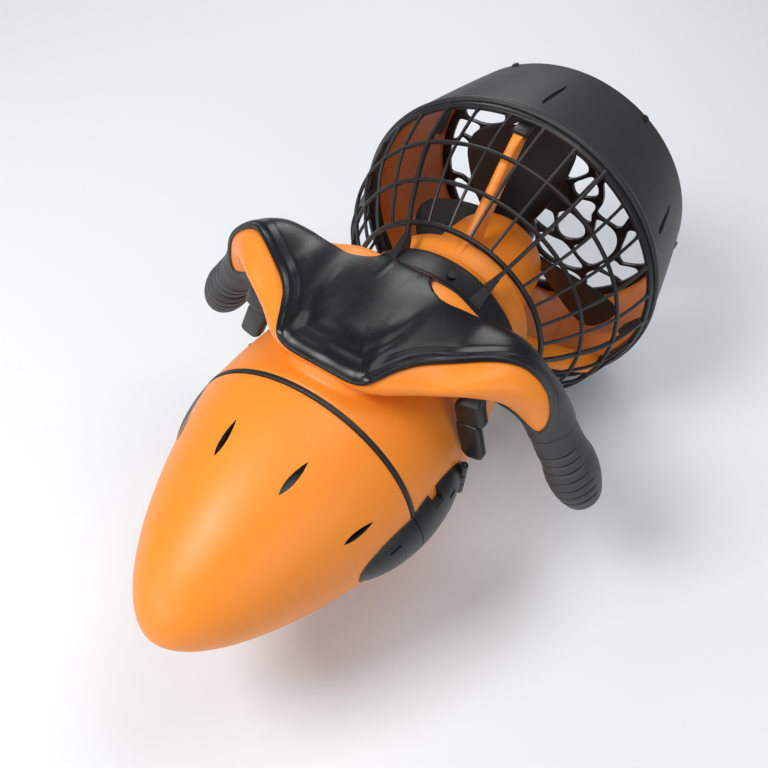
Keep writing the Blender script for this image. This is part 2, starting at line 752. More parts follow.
def build_hull():
    ys = np.concatenate([[HULL_FRONT, -300.45, -300.1, -299.5, -298.8],
                         np.arange(-298.0, -281.9, 0.8), np.arange(-280.5, -176, 1.7),
                         np.arange(-174.5, -150, 1.0)])
    ys = np.append(ys[ys < -152.6], [-152.6, HULL_BACK])
    angles = np.linspace(-math.pi, math.pi, HULL_COLUMNS, endpoint=False)
    lift = np.array([pedestal_lift(y, angles) for y in ys])
    shifts = np.arange(-6, 7)
    weights = np.exp(-0.5 * (shifts * (2 * math.pi / HULL_COLUMNS * 88.0) / FOOT_BLUR) ** 2)
    weights /= weights.sum()
    around = sum(w * np.roll(lift, k, 1) for k, w in zip(shifts, weights))
    rows = []
    for y in ys:
        w = np.exp(-0.5 * ((ys - y) / FOOT_BLUR) ** 2) * np.gradient(ys)
        w /= w.sum()
        base, axis_z = hull_section(y, angles)
        r = base + (w @ around) * smoothstep(y, -301.5, -297.0)
        # rounded front and back rims
        r = r - 0.9 * max(0.0, 1 - (y - HULL_FRONT) / 1.8) ** 2
        r = r - 0.5 * max(0.0, (y - HULL_BACK + 1.2) / 1.2) ** 2
        rows.append(np.stack([r * np.sin(angles), np.full(HULL_COLUMNS, y),
                              axis_z + r * np.cos(angles)], -1))
    geometry = np.concatenate(rows), quads(len(ys), HULL_COLUMNS, close_cols=True)
    hull = mesh_object("hull_body", geometry, ORANGE, sub=("hull_shell",))
    outward_open(hull)
    solidify(hull, HULL_WALL)


# ------------------------------------------------------------------ winged handlebar
# the drooping arm: start of its axis, direction down it, and the two section directions
ARM_START = np.array([130.8, -197.7, 59.8])
ARM_DOWN = unit([0.438, 0.158, -0.885])
ARM_REAR = unit(np.cross(unit([0.9, 0.0, 0.44]), ARM_DOWN))
ARM_OUT = np.cross(ARM_DOWN, ARM_REAR)
# sections: centre, chord direction, thickness direction, half chord, half thickness, exponent
WING = [((-38, -232, 106), (0, 1, 0), (0, 0, 1), 54.0, 12.0, 2.6),
        ((0, -232, 104), (0, 1, 0), (0, 0, 1), 56.0, 11.0, 2.6),
        ((38, -232, 106), (0, 1, 0), (0, 0, 1), 54.0, 12.0, 2.6),
        ((68.2, -224.3, 101.9), (0, 1, 0), (0.08, 0, 1), 38.3, 9.7, 2.4),
        ((94.3, -216.7, 101.0), (0, 1, 0), (0.5, 0, 0.86), 28.5, 15.5, 2.3),
        ((114.7, -207.0, 85.0), (0, 1, 0), (0.83, 0, 0.55), 17.9, 18.8, 2.2),
        (ARM_START, (-0.02, 1, 0.13), (0.9, 0, 0.44), 15.6, 15.5, 2.1),
        (ARM_START + ARM_DOWN * 14, (-0.02, 1, 0.13), (0.9, 0, 0.44), 17.3, 14.5, 2.0)]
WING_ROWS = np.array([[*centre, *unit(chord), *unit(thick), *sizes]
                      for centre, chord, thick, *sizes in WING])
# distance along the bar from its middle, the second section
WING_S = np.append(0, np.cumsum(np.linalg.norm(np.diff(WING_ROWS[:, :3], axis=0), axis=1)))
WING_S -= WING_S[1]
ARM_S = WING_S[6]


def wing(s, phi, off=0.0):
    """Bar surface: s along it from the middle, phi round it (0 rear, 90 top, 180 front)."""
    s, phi = np.broadcast_arrays(np.asarray(s, float), np.radians(np.asarray(phi, float)))
    q = curve(WING_S, WING_ROWS, np.minimum(s, WING_S[-1]).ravel()).reshape(s.shape + (12,))
    centre, chord, thick = q[..., :3], q[..., 3:6], q[..., 6:9]
    half_chord, half_thick, power = q[..., 9] + off, q[..., 10] + off, q[..., 11]
    centre = centre + np.maximum(s - WING_S[-1], 0)[..., None] * ARM_DOWN
    chord = chord / np.linalg.norm(chord, axis=-1)[..., None]
    thick = thick / np.linalg.norm(thick, axis=-1)[..., None]
    along = half_chord * signed_power(np.cos(phi), 2 / power)
    across = half_thick * signed_power(np.sin(phi), 2 / power)
    return centre + chord * along[..., None] + thick * across[..., None]


def build_handlebar():
    half = np.concatenate([np.arange(0, 112, 2.0), np.arange(112, 142, 1.0),
                           np.arange(142, 172, 1.5)])
    phi = np.degrees(circle(112))
    rings = [wing(abs(s), phi) * np.array([-1 if s < 0 else 1, 1, 1])
             for s in np.concatenate([-half[:0:-1], half])]
    rings = np.array(rings)
    # a small nub with a dimple beside it, low on the inner corner of each arm
    for side, _ in SIDES:
        nub, dimple = (wing(s, p) * np.array([side, 1, 1]) for s, p in ((128.5, 188.0),
                                                                       (124.0, 190.0)))
        height = (1.3 * bell(np.linalg.norm(rings - nub, axis=-1), 2.6)
                  - 1.2 * bell(np.linalg.norm(rings - dimple, axis=-1), 1.9))
        rings = rings + height[..., None] * np.array([-0.35 * side, -0.75, -0.55])
    solid("handlebar_body", loft(rings), ORANGE, 60, sub=("handlebar_core",))


# ------------------------------------------------------------------ rubber saddle cover
# where the cover's edges run round the bar: (distance along the bar, phi)
FRONT_EDGE = np.array([
    (0, 171), (22, 171), (29, 170), (33, 167.5), (35.5, 164), (37.5, 159), (41, 149), (46, 134),
    (53.6, 121.5), (60, 115.5), (66.8, 110.8), (73, 107), (80, 102.5), (86, 98.5), (92, 94.7),
    (100.4, 90.3), (106.7, 88.7), (115.2, 90), (122.9, 96.5), (131.8, 113.5), (138, 123.5),
    (143.7, 134), (148.5, 145), (151.2, 153), (153.2, 161.5), (154.3, 168), (154.9, 174)])
REAR_EDGE = np.array([
    (0, -24), (16.5, -22), (18.6, -8), (20, 28), (21.5, 41), (24.2, 48.5), (30, 56), (36.6, 60),
    (42, 59.5), (46.4, 57.5), (54, 50), (61.2, 42), (69, 31), (77.4, 18), (84, 0), (90, -30),
    (96, -70), (102, -100), (108, -118), (115, -130), (122, -138), (129, -144), (135.7, -150),
    (141, -156), (146, -162), (150, -168), (152.5, -173.5), (154.2, -180), (154.9, -186)])
SLEEVE_S = 154.9          # from here on the cover is a closed sleeve round the arm
SLEEVE_PHI = (-186.0, 174.0)
COVER_END = ARM_S + 9.0
COVER_THICKNESS = 3.3
COVER_COLUMNS = 104
# crease lines fanning back from the front corners: start and end (s, phi), height, width
CREASES = (((36, 150), (64, 78), 0.5, 3.2), ((35, 152), (22, 92), 0.45, 3.5),
           ((58, 112), (97, 76), 0.3, 3.6))


def softened_edge(edge, s):
    """Edge angle at s, averaged over a short stretch of bar."""
    k = np.linspace(-1.6, 1.6, 9)
    weights = np.exp(-0.5 * (k / 0.8) ** 2)
    return np.interp(np.abs(s + k * 1.1), *edge.T) @ weights / weights.sum()


def edge_distance(points, edge):
    """Distance of each lattice point to the nearest edge points within 60 rows."""
    out = []
    for i, row in enumerate(points):
        gaps = row[:, None, :] - edge[None, max(0, i - 60):i + 60]
        out.append(np.sqrt((gaps ** 2).sum(-1)).min(1))
    return np.array(out)


def cover_relief(s, phi, surface, front, rear):
    """Height of beads, grooves and creases; front and rear are distances to those edges."""
    # bead, groove and soft crown along the front edge, and both edges rolled down
    bead = 0.7 * bell(front - 2.0, 1.5) - 0.75 * bell(front - 5.2, 0.75)
    bead = bead + 0.3 * bell(front - 7.8, 2.2)
    beaded = smoothstep(s, 30, 37)
    relief = bead * beaded * (0.35 + 0.65 * smoothstep(s, 132, 116))
    relief = relief - 1.5 * bell(front, 0.8) - 1.4 * bell(rear, 1.2)
    # straight front lip in the middle: a full roll with a shallow valley behind it
    lip = 1.5 * bell(front - 9.0, 7.0) - 0.9 * bell(front - 21.0, 4.5)
    relief = relief + (1 - beaded) * (lip + 0.8 * bell(front - 33.0, 9.0))
    for start, end, height, width in CREASES:
        a, b = wing(*start, COVER_THICKNESS), wing(*end, COVER_THICKNESS)
        line = b - a
        t = np.clip(((surface - a) @ line) / (line @ line), 0, 1)
        distance = np.linalg.norm(surface - (a + t[..., None] * line), axis=-1)
        relief = relief + height * bell(distance, width) * (1 - t) ** 0.6
        relief = relief - 0.5 * height * bell(distance - 2.2 * width, width) * (1 - t)
    # shallow line that follows the front edge
    relief = relief - 0.22 * bell(front - 13.0, 1.1) * beaded * smoothstep(s, 128, 112)
    # short curved crease beside the middle of the rear edge
    arc = s - (10.5 + 2.2 * smoothstep(phi, 60, 20))
    return relief - 0.3 * bell(arc, 1.3) * smoothstep(phi, 78, 58) * smoothstep(phi, 8, 24)


def build_cover():
    stations = np.concatenate([
        np.arange(0, 15, 1.5), np.arange(15, 46, 0.75), np.arange(46, 84, 1.5),
        np.arange(84, 112, 1.0), np.arange(112, 137, 1.2), np.arange(137.2, SLEEVE_S - 0.2, 0.6),
        [SLEEVE_S], np.arange(SLEEVE_S + 0.9, COVER_END - 0.3, 1.2), [COVER_END]])
    # columns crowd towards both edges so that the bead stays crisp
    across = np.linspace(0, 1, COVER_COLUMNS)
    across = 0.5 - 0.5 * np.cos(math.pi * across) * (1 - 0.35 * np.sin(math.pi * across) ** 2)
    edges = np.array([SLEEVE_PHI if x >= SLEEVE_S
                      else (softened_edge(REAR_EDGE, x), softened_edge(FRONT_EDGE, x))
                      for x in stations])
    s = np.repeat(stations[:, None], COVER_COLUMNS, 1)
    phi = edges[:, :1] + (edges[:, 1:] - edges[:, :1]) * across[None, :]
    # the sleeve thins towards the inner side of the arm
    inner_side = 0.5 + 0.5 * np.cos(np.radians(phi - 225.0))
    surface = wing(s, phi, COVER_THICKNESS - 2.0 * smoothstep(s, 118, 150) * inner_side)
    is_open = stations < SLEEVE_S + 0.05
    front = edge_distance(surface, surface[is_open, -1])
    rear = edge_distance(surface, surface[is_open, 0])
    normal = np.cross(np.gradient(surface, axis=0), np.gradient(surface, axis=1))
    normal = normal / np.maximum(np.linalg.norm(normal, axis=-1), 1e-9)[..., None]
    centre = curve(WING_S, WING_ROWS[:, :3], np.minimum(stations, WING_S[-1]))[:, None, :]
    normal = normal * np.sign(((surface - centre) * normal).sum(-1))[..., None]
    top = surface + normal * cover_relief(s, phi, surface, front, rear)[..., None]
    bottom = wing(s, phi, 0.15)
    rows = len(stations)
    side_rows = [i for i in range(rows - 1) if stations[i] < SLEEVE_S - 0.01]
    half = (np.concatenate([top.reshape(-1, 3), bottom.reshape(-1, 3)]),
            slab_faces(rows, COVER_COLUMNS, side_rows, (rows - 1,)))
    solid("saddle_skin", joined([mirror(half, side) for side, _ in SIDES]), RUBBER, 62,
          sub=("saddle_cover",), merge=0.05)


# ------------------------------------------------------------------ grips
GRIP_START = 9.3
RIB_PITCH = 8.5
# distance down the arm, half size along ARM_REAR, half size along ARM_OUT
GRIP_SECTIONS = np.array([
    (9, 18.9, 16.7), (24, 19.1, 17.0), (36, 19.4, 17.2), (40, 19.8, 17.1), (43.7, 20.5, 17.3),
    (50, 21.8, 18.3), (57, 22.3, 18.8), (64, 22.2, 18.8), (71, 21.4, 18.3), (78, 20.0, 17.3),
    (84, 18.4, 16.1), (89, 16.7, 14.7), (92.5, 14.5, 12.9), (95.0, 11.2, 10.0),
    (96.3, 7.4, 6.6), (97.0, 1.0, 1.0)])


def build_grip(side, label):
    """Neck and ribbed hand sleeve with a rounded end, on the drooping arm."""
    stations = np.concatenate([
        [GRIP_START, 9.5, 10.0], np.arange(11, 20, 1.5), np.arange(20, 88, 0.5),
        np.arange(88, 91, 1.0), np.linspace(91, 96.6, 16), [96.8, 96.93, 97.0]])
    angles = circle(96)
    degrees = np.degrees(angles)
    # the grooves start sharply on the outer side and fade out round the grip
    window = smoothstep(degrees, 98, 107) * smoothstep(degrees, 332, 296)
    depth = 2.4 - 1.2 * smoothstep(degrees, 112, 210)
    rings = []
    for t in stations:
        rear, out = table_at(GRIP_SECTIONS, t)[0]
        rim = 0.15 * max(0.0, 1 - (t - GRIP_START) / 1.3)
        phase = (t - 27.0) / RIB_PITCH % 1.0
        groove = bell(min(phase, 1 - phase), 0.105)
        swell = math.sin(math.pi * phase) ** 0.8
        ribbed = smoothstep(t, 20.0, 26.5) * smoothstep(t, 86.0, 79.5)
        rib = ribbed * window * (0.45 * swell - depth * groove)
        # the neck sits a little rearward, the sleeve a little outward
        neck, sleeve = 1.0 - smoothstep(t, 10, 34), smoothstep(t, 12, 46)
        centre = (ARM_START + ARM_DOWN * t + ARM_OUT * (0.75 * neck + 2.6 * sleeve)
                  + ARM_REAR * (0.7 * neck))
        rings.append(centre + ARM_REAR * ((rear - rim + rib) * np.cos(angles))[:, None]
                     + ARM_OUT * ((out - rim + rib) * np.sin(angles))[:, None])
    solid("hand_grip_" + label, mirror(loft(rings), side), GRIP, 55, sub=("grip_" + label,))


# ------------------------------------------------------------------ tail pod and struts
# (y, radius, corner radius)
POD_PROFILE = [
    (-151.6, 66.8), (-151.6, 69.8, 0.4), (-118, 69.8), (-110.5, 67.6, 4), (-104.5, 66.0, 3),
    (-100.5, 66.8, 2), (-95.0, 68.6, 2), (-88.4, 70.0, 1.6), (-85.8, 66.6, 2.5), (-82, 56.0, 4),
    (-76, 50.6, 5), (-60, 49.0), (-35, 47.5), (-15, 44.6), (-8.4, 42.2, 1.5), (-8.2, 15.4),
    (-12, 15.4), (-12, 38.3), (-35, 43.6), (-60, 45.1), (-78, 46.3), (-84, 49.8), (-88, 63.8),
    (-100, 63.8), (-120, 66.1)]
# leading and trailing edge of a strut, (y, radius), from the pod out to the duct
STRUT_FRONT = np.array([
    (-104.5, 64.0), (-99.5, 67.6), (-93.5, 70.6), (-86.0, 73.2), (-77.0, 80.2), (-66.0, 92.0),
    (-54.0, 105.5), (-42.0, 119.0), (-32.0, 128.6), (-24.5, 134.4)])
STRUT_REAR = np.array([
    (-86.0, 56.0), (-70.0, 50.2), (-58.6, 48.0), (-57.0, 56.0), (-52.0, 68.0), (-44.0, 80.5),
    (-34.0, 94.0), (-24.5, 106.5), (-14.0, 120.0), (-5.0, 134.4)])


def strut(rows=46, columns=26):
    """Blade from pod to duct: round leading edge, slightly tapered trailing part."""
    t = np.linspace(0, 1, rows)
    knots = np.linspace(0, 1, len(STRUT_FRONT))
    front, rear = curve(knots, STRUT_FRONT, t), curve(knots, STRUT_REAR, t)
    angles = 2 * math.pi * np.arange(columns) / columns
    c, s = np.cos(angles), np.sin(angles)
    chord = 0.5 - 0.5 * signed_power(c, 0.55)
    taper = np.where(c > 0, 1.0, 0.72 + 0.28 * (1 - np.abs(c)) ** 0.5)
    x = (5.0 - 0.5 * t)[:, None] * (signed_power(s, 0.5) * taper)
    yz = front[:, None] + (rear - front)[:, None] * chord[:, None]
    return loft(np.concatenate([x[..., None], yz], -1))


def build_tail_pod():
    lathe("tail_pod_shell", fillet(POD_PROFILE, 4), ORANGE, 200, 30, sub=("tail_pod",))
    for k, angle in enumerate((0, 120, 240)):
        solid("duct_strut_%d" % k, spin(strut(), angle), ORANGE, 55, sub=("tail_pod",))
        # block that holds the strut head in the duct
        clamp = mesh_object("strut_clamp_%d" % k,
                            spin(box(-6.3, 6.3, -21.0, -5.2, 132.2, 138.0), angle), GUARD,
                            sub=("strut_clamps",))
        outward(clamp)
        bevel(clamp, 1.1, angle=30, segments=3)


# ------------------------------------------------------------------ duct
DUCT_FRONT_R, DUCT_TAIL_R = 145.0, 124.5
LINER_DEPTH = 6.65        # inner face of the liner below the duct's outside
SKIN_ROWS = [5.5, 8, 11, 14, 16.5, 18, 19, 20.5, 22.5, 25, 28, 31, 34, 37, 40, 43, 46, 49, 52, 55,
             58, 61, 63.5, 65.3, 66.5, 67.5, 70, 74, 79, 84, 89, 94, 98, 101, 103.5, 105.5,
             107.0, 108.2, 109.0, 109.5, 109.8]
SKIN_SLOTS = {a: (18.0, 66.5) for a in range(0, 360, 60)}
SKIN_WALL = 3.9


def duct_radius(y):
    t = y / TAIL_Y
    return DUCT_FRONT_R + (DUCT_TAIL_R - DUCT_FRONT_R) * (0.86 * t + 0.14 * t * t)


def skin_point(y, angle):
    r = duct_radius(y) - 1.6 * max(0.0, (y - 106.5) / 3.3) ** 2.4
    return r * math.sin(angle), y, r * math.cos(angle)


def build_liner():
    profile = [(y, duct_radius(y) - 4.2) for y in np.linspace(10.2, 98.8, 16)]
    profile += [(y, duct_radius(y) - LINER_DEPTH + 0.8 * max(0, (y - 92) / 7) ** 2)
                for y in np.linspace(98.8, 10.2, 24)[:-1]]
    profile.append((10.2, duct_radius(10) - 5.4))
    lathe("duct_liner_skin", profile, DUCT_ORANGE, 216, 35, sub=("duct_liner",))
    # moulded joints: thin lap strips along the inside
    rows = []
    for y in np.linspace(12, 97, 20):
        r = duct_radius(y) - LINER_DEPTH
        rows.append([(-3.4, y, r + 0.3), (-2.8, y, r - 0.55), (2.8, y, r - 0.55),
                     (3.4, y, r + 0.3)])
    for k, angle in enumerate((35, 155, 275)):
        solid("liner_lap_%d" % k, spin(loft(rows), angle), DUCT_ORANGE, 30)


def build_duct_ring():
    skin = slotted("duct_skin", SKIN_ROWS, SKIN_SLOTS, step=3.2, band=4.5, point=skin_point,
                   radius=duct_radius, width=lambda t: lens_width(t, 2.7, 0.22, 0.7, 0.75),
                   mat=BLACK, sub=("shroud_ring",))
    solidify(skin, SKIN_WALL)
    bevel(skin, 0.5, angle=50)
    # closed floor behind the slots
    floor = [(13.0, duct_radius(13.0) - 3.95)]
    floor += [(y, duct_radius(y) - 2.3) for y in (13.0, 25, 38, 52, 70.0)]
    floor += [(y, duct_radius(y) - 3.95) for y in (70.0, 52, 38, 25)]
    lathe("duct_cut_floor", floor, BLACK, 216, 30)
    # rolled lip at the front joins the skin
    lip = [(5.6, duct_radius(5.6) + 0.02), (3.0, 145.1, 3), (0.4, 145.9, 3), (-2.3, 145.3, 2.2),
           (-3.0, 143.2, 1.8), (-1.6, 141.6, 2.0), (1.0, 141.0, 2), (5.6, 140.4),
           (9.8, duct_radius(9.8) - 3.98), (9.8, duct_radius(9.8) - 1.6),
           (5.6, duct_radius(5.6) - 1.4)]
    lathe("duct_lip", fillet(lip, 5), BLACK, 240, 30)


# ------------------------------------------------------------------ front guard
# (y, radius) along a bar, from the duct forward to the collar; thin bars stop at row 6
BAR_LINE = np.array([
    (-4.0, 140.9), (-24.0, 136.2), (-46.0, 129.2), (-62.0, 121.2), (-75.0, 111.8),
    (-90.0, 100.4), (-102.0, 88.8), (-112.0, 80.0), (-123.0, 75.0)])
BAR_S = np.append(0, np.cumsum(np.linalg.norm(np.diff(BAR_LINE, axis=0), axis=1)))
BAR_COUNT, BAR_PITCH, FIRST_BAR = 30, 12, -42
# y, radius and half thickness of the hoops
HOOPS = ((-102.0, 88.8, 2.3), (-75.0, 111.8, 1.75), (-46.0, 129.2, 1.75))
# plates on every fifth bar, (y, radius, half width): gusset behind the rim, foot on the collar
GUSSET = [(-3.0, 139.0, 1.7), (-3.4, 141.6, 1.7), (-16, 139.0, 1.7), (-35, 134.2, 1.7),
          (-30, 128.2, 1.7), (-22, 129.6, 1.7), (-13, 133.6, 1.7)]
FOOT = [(-107.0, 83.2, 2.0), (-112, 83.6, 2.4), (-124, 80.2, 3.8), (-141, 77.6, 5.6),
        (-141, 75.0, 5.6), (-118, 72.6, 4.2), (-109, 78.0, 2.4)]
GUARD_RIM = [(-8.8, 138.5, 0.8), (-9.0, 142.0, 1.2), (-6.4, 143.0, 1.2), (-3.3, 143.3, 0.8),
             (-3.0, 141.6, 0.6), (2.8, 140.9), (2.8, 138.5, 0.8), (-2, 138.2)]
GUARD_COLLAR = [(-151.9, 70.2), (-151.9, 78.3, 1.0), (-149.5, 79.0, 1.5), (-145, 78.8, 2),
                (-141.5, 77.6, 1), (-124, 75.4), (-119.5, 75.6, 1.6), (-116.3, 74.2, 1.4),
                (-116.1, 70.2)]


def guard_bar(thick):
    """One bar in the plane X = 0, flared at the rim and, if thick, at the collar."""
    n = 46 if thick else 38
    yr = curve(BAR_S, BAR_LINE, np.linspace(0, BAR_S[8 if thick else 6], n))
    path = np.column_stack([np.zeros(n), yr])
    slope = np.gradient(yr, axis=0)
    slope /= np.linalg.norm(slope, axis=1)[:, None]
    up = np.column_stack([np.zeros(n), -slope[:, 1], slope[:, 0]])
    width = np.full(n, 1.75 if thick else 1.25)
    height = np.full(n, 2.3 if thick else 1.5)
    width[:4] += np.linspace(1.6, 0, 4)
    height[:4] += np.linspace(1.2, 0, 4)
    if thick:
        width[-8:] += np.linspace(0, 2.2, 8)
        height[-8:] += np.linspace(0, 1.0, 8)
    tangent = np.gradient(path, axis=0)
    tangent /= np.linalg.norm(tangent, axis=1)[:, None]
    side = np.cross(tangent, up)
    side /= np.linalg.norm(side, axis=1)[:, None]
    top = np.cross(side, tangent)
    a = mid_circle(10)
    across = width[:, None] * signed_power(np.cos(a), 2 / 2.6)
    along = height[:, None] * signed_power(np.sin(a), 2 / 2.6)
    return loft(path[:, None] + side[:, None] * across[..., None]
                + top[:, None] * along[..., None])


def plate(outline):
    verts = [(side * half, y, r) for side in (-1, 1) for y, r, half in outline]
    return np.array(verts), prism_faces(len(outline))


def build_front_guard():
    parts = []
    for k in range(BAR_COUNT):
        angle = FIRST_BAR + BAR_PITCH * k
        thick = (k - 1) % 5 == 0
        parts.append(spin(guard_bar(thick), angle))
        if thick:
            parts += [spin(plate(GUSSET), angle), spin(plate(FOOT), angle)]
    a = mid_circle(10)
    for y, r, half in HOOPS:
        section = zip(y + half * signed_power(np.sin(a), 0.8),
                      r + half * signed_power(np.cos(a), 0.8))
        parts.append(turned(list(section), 200))
    solid("guard_bars", joined(parts), GUARD, 42, sub=("front_guard",))
    lathe("guard_rim", fillet(GUARD_RIM, 4), GUARD, 240, 35)
    lathe("guard_collar", fillet(GUARD_COLLAR, 5), GUARD, 220, 30)


# ------------------------------------------------------------------ rear guard
NET_Y = 104.2
# inner radius, outer radius, number of cells, start angle
NET_BANDS = ((21.5, 51.0, 9, 0.0), (51.0, 85.0, 9, 20.0), (85.0, 116.8, 18, 10.0))
NET_HALF_BAR = 1.5
CELL_POWER = 3.2          # superellipse exponent of the holes
HUB_CAP = [(98.2, 6.0), (98.2, 18.5, 1.5), (100.4, 21.0, 1.2), (104.2, 22.4, 1.0),
           (106.0, 20.6, 1.4), (109.9, 18.0, 1.8), (109.9, 9.0, 1.2), (108.6, 6.8, 0.8),
           (108.6, 0.02), (98.2, 0.02)]


def net_point(a, r):
    """Bends the regular net so that no two cells match."""
    k = np.clip((r - 24) / 30, 0, 1) * np.clip((116.5 - r) / 18, 0, 1)
    bent_r = r + k * (4.2 * np.sin(3 * a + 0.6) + 3.0 * np.sin(5 * a + 2.1)
                      + 2.0 * np.sin(8 * a + r / 16.0))
    bent_a = a + k * (0.10 * np.sin(2 * a + r / 22.0) + 0.07 * np.sin(7 * a + r / 15.0))
    return bent_r * math.sin(bent_a), NET_Y, bent_r * math.cos(bent_a)


def cell_net():
    """Bands of square cells with rounded holes."""
    square = [(-1 + 2 * i / 24, -1) for i in range(24)]
    square += [(1, -1 + 2 * i / 12) for i in range(12)]
    square += [(1 - 2 * i / 24, 1) for i in range(24)]
    square += [(-1, 1 - 2 * i / 12) for i in range(12)]
    n = len(square)
    verts, faces = [], []
    for inner_r, outer_r, count, start in NET_BANDS:
        pitch = 2 * math.pi / count
        mid_r, half_height = 0.5 * (inner_r + outer_r), (outer_r - inner_r) / 2
        half_width = mid_r * pitch / 2
        for cell in range(count):
            a0 = math.radians(start) + pitch * cell
            border, hole = [], []
            for u, v in square:
                border.append((a0 + pitch * (0.5 + 0.5 * u), mid_r + half_height * v))
                ray = math.atan2(v, u)
                c, s = math.cos(ray), math.sin(ray)
                reach = (abs(c) ** CELL_POWER + abs(s) ** CELL_POWER) ** (-1.0 / CELL_POWER)
                hole_u = reach * c * (1 - NET_HALF_BAR / half_width)
                hole_v = reach * s * (1 - NET_HALF_BAR / half_height)
                hole.append((a0 + pitch * (0.5 + 0.5 * hole_u), mid_r + half_height * hole_v))
            base = len(verts)
            verts += [net_point(a, r) for a, r in border + hole]
            faces += [(base + i, base + (i + 1) % n, base + n + (i + 1) % n, base + n + i)
                      for i in range(n)]
    return verts, faces


def build_rear_guard():
    net = mesh_object("rear_net", cell_net(), GUARD, sub=("rear_guard",), merge=0.35)
    if sum(p.normal.y for p in net.data.polygons) < 0:
        net.data.flip_normals()
    solidify(net, 3.8)
    bevel(net, 0.8, angle=50)
    outer = duct_radius(104.4) - 4.3
    rim = [(100.3, outer - 7.6, 0.9), (104.6, outer - 7.6, 0.9), (104.6, outer - 0.1, 0.6),
           (100.3, outer - 0.1 + 0.7, 0.6)]
    lathe("rear_net_rim", fillet(rim, 3), GUARD, 220, 35)
    lathe("rear_hub_cap", fillet(HUB_CAP, 4), GUARD, 96, 35)


# ------------------------------------------------------------------ propeller
PROP_Y = 20
BLADE_ROOT, BLADE_TIP = 13.5, 115.4
# radius, chord, pitch angle, thickness
BLADE = np.array([
    (13.5, 33, 45, 8.0), (18, 41, 43.5, 7.4), (24, 50, 42, 6.5), (35, 62, 38, 5.2),
    (48, 73, 34.5, 4.5), (62, 82, 31, 4.0), (76, 88.5, 28.3, 3.5), (88, 92, 26, 3.2),
    (98, 89, 24.4, 2.8), (106, 80, 23, 2.4), (111, 66, 22.4, 2.1), (114, 48, 22.1, 1.8),
    (115.3, 26.0, 22.0, 1.3)])
PROP_HUB = [(-3.8, 5.2), (-3.8, 16.2, 1.2), (4, 18.0, 2), (20, 16.6), (38, 15.0, 2),
            (43.9, 11.0, 1.5), (43.9, 5.2)]


def blade():
    """One blade standing up along Z."""
    radii = BLADE_ROOT + (BLADE_TIP - BLADE_ROOT) * np.linspace(0, 1, 44) ** 0.9
    a = mid_circle(36)
    rings = []
    for r, (chord, pitch, thickness) in zip(radii, table_at(BLADE, radii)):
        c, s = math.cos(math.radians(pitch)), math.sin(math.radians(pitch))
        u = chord / 2 * np.cos(a)
        v = thickness / 2 * signed_power(np.sin(a), 0.85)
        rings.append(np.stack([c * u - s * v, PROP_Y + s * u + c * v, np.full(len(a), r)], -1))
    return loft(rings)


def build_propeller():
    parts = [spin(blade(), angle) for angle in (-6, 114, 234)]
    parts.append(turned(fillet(PROP_HUB, 4), 72))
    solid("propeller_blades", joined(parts), GUARD, 45, body="drive", sub=("propeller",))


# ------------------------------------------------------------------ latches
# each latch is cut from one ellipsoid lens that stands out of the side of nose and hull
LENS_CENTRE = (62.0, -288.5, 4.0)
LENS_HALF = (41.0, 74.7, 35.4)
LENS_TURN = math.radians(-3.4)     # about Z
LATCH_COLUMNS = 31
HINGE_X, HINGE_Y = 95.6, -241.0
HINGE_BORE, HINGE_RADIUS = 1.75, 3.2


def lens_x(y, z):
    """Outer X of the lens, nan where there is none: a quadratic in X."""
    (a, b, h), (cx, cy, cz) = LENS_HALF, LENS_CENTRE
    c, s = math.cos(LENS_TURN), math.sin(LENS_TURN)
    dy = y - cy
    square = (c / a) ** 2 + (s / b) ** 2
    linear = 2 * dy * (c * s / a ** 2 - c * s / b ** 2)
    constant = (dy * s / a) ** 2 + (dy * c / b) ** 2 + ((z - cz) / h) ** 2 - 1
    disc = linear * linear - 4 * square * constant
    return np.where(disc > 0, cx + (-linear + np.sqrt(np.maximum(disc, 0))) / (2 * square),
                    np.nan)


def body_x(y, z):
    """X of the hull or nose surface."""
    if y > SEAM_Y:
        rx, rz, axis_z = table_at(HULL, max(y, HULL[0, 0]))[0]
    else:
        rz, axis_z = nose_radius(y), nose_axis(y)
        rx = rz * NOSE_OVAL
    return rx * np.sqrt(np.maximum(1 - ((z - axis_z) / rz) ** 2, 0))


def build_latch_part(name, side, y0, y1, sub, body, tools=()):
    """The stretch of the lens from y0 to y1, less the tools."""
    outer, inner = [], []
    crowd = signed_power(np.cos(np.linspace(math.pi, 0, LATCH_COLUMNS)), 0.9)
    for y in np.linspace(y0, y1, max(6, int((y1 - y0) / 1.6)) + 1):
        probe = np.linspace(LENS_CENTRE[2] - LENS_HALF[2], LENS_CENTRE[2] + LENS_HALF[2], 281)
        gap = lens_x(y, probe) - body_x(y, probe)
        proud = np.where(np.nan_to_num(gap, nan=-1) > 0.35)[0]
        if len(proud) < 4:
            continue
        z0, z1 = probe[proud[0]], probe[proud[-1]]
        z = 0.5 * (z0 + z1) + 0.5 * (z1 - z0) * crowd
        x_in = body_x(y, z) + 0.25
        x_out = np.fmax(np.nan_to_num(lens_x(y, z), nan=0), x_in + 0.5)
        ys = np.full(LATCH_COLUMNS, y)
        outer.append(np.stack([x_out, ys, z], -1))
        inner.append(np.stack([x_in, ys, z], -1))
    rows = len(outer)
    geometry = (np.concatenate(outer + inner),
                slab_faces(rows, LATCH_COLUMNS, range(rows - 1), (0, rows - 1)))
    part = mesh_object(name, mirror(geometry, side), TRIM, body, sub)
    outward(part)
    if tools:
        carve(part, [mirror(tool, side) for tool in tools])
    crisp(part, 38)
    bevel(part, 0.9, angle=38)


